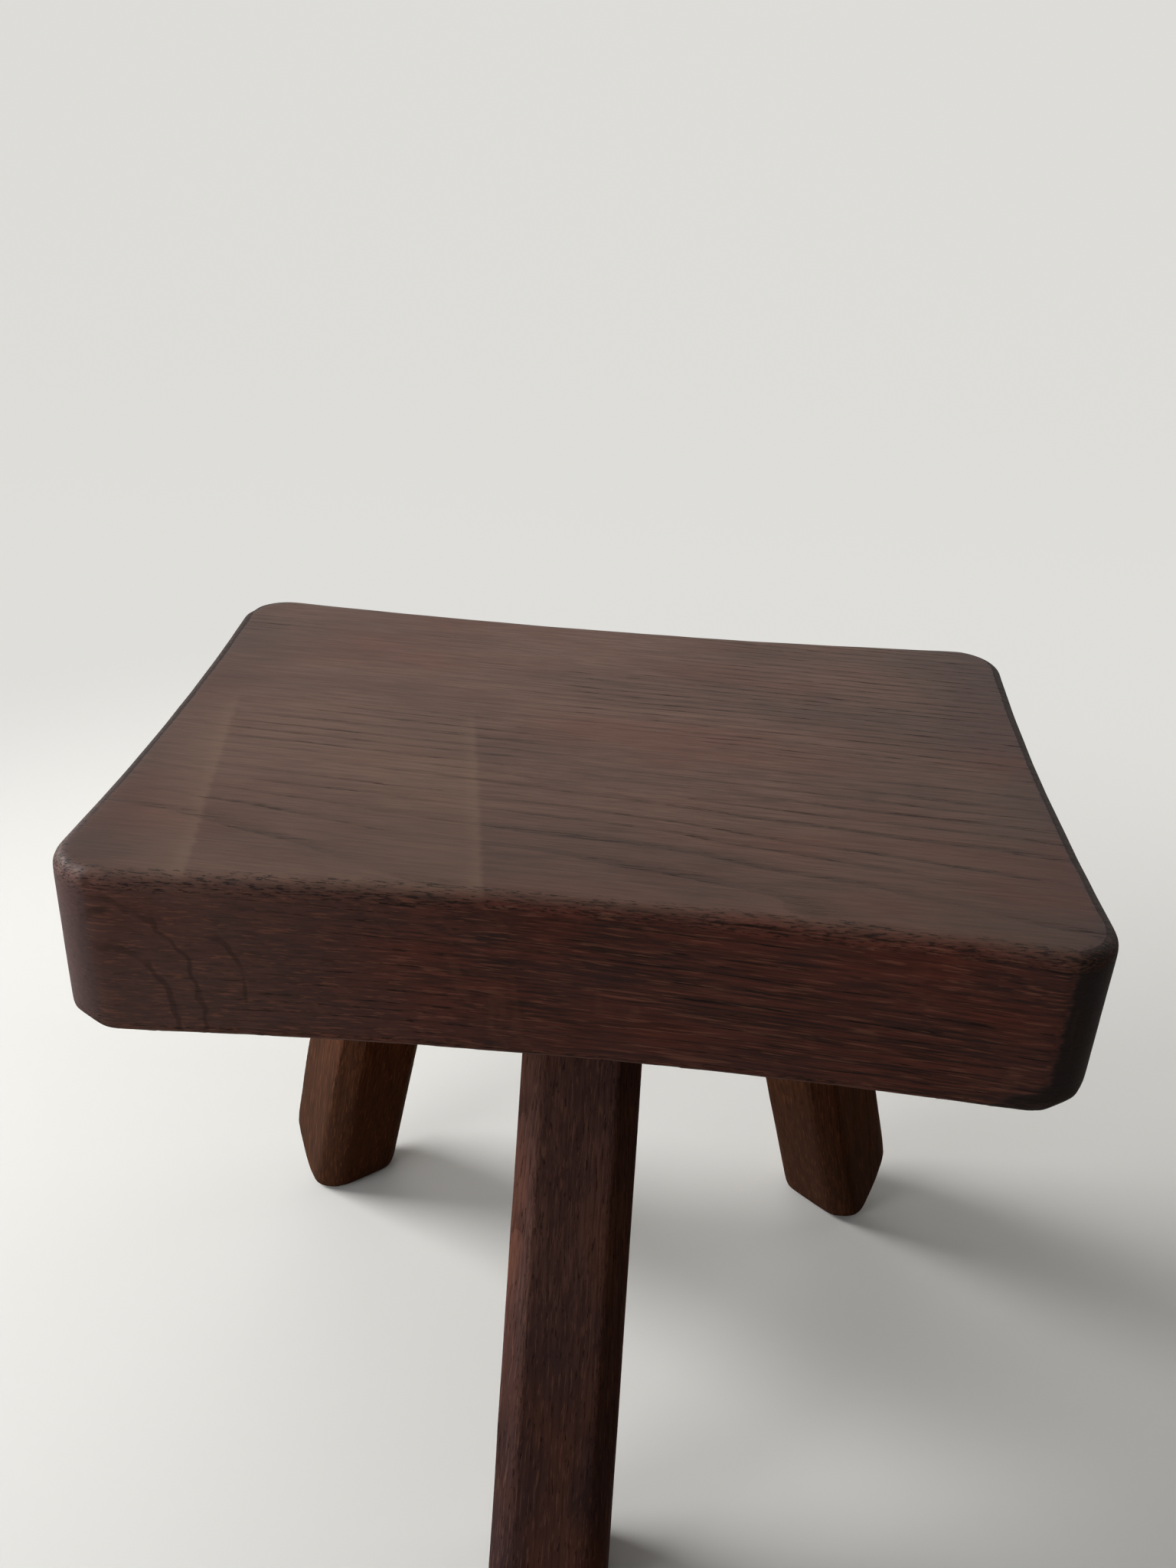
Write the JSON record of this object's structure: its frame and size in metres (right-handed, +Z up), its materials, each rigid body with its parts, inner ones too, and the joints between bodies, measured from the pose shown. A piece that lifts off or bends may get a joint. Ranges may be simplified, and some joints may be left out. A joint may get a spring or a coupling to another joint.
{
  "type": "tripod stool",
  "caption": "Low solid oak stool with a thick hollow-sided slab seat on stout splayed tripod legs with bevelled corners and rounded heels, dark stained and waxed.",
  "frame": {"origin": "on the floor, at the middle of the stool's overall width and depth", "axes": "+X along the slab's length, to the right when seen from the single leg's side, +Y from the single leg towards the pair of legs, +Z up"},
  "size_m": [0.3968, 0.3316, 0.38],
  "materials": {
    "seat_oak": "dark stained oak, waxed to a soft sheen",
    "leg_oak": "dark stained oak with open pores, waxed to a soft sheen"
  },
  "bodies": {
    "root": {"seat": "seat_oak", "front_leg": "leg_oak", "left_leg": "leg_oak", "right_leg": "leg_oak"}
  },
  "joints": []
}
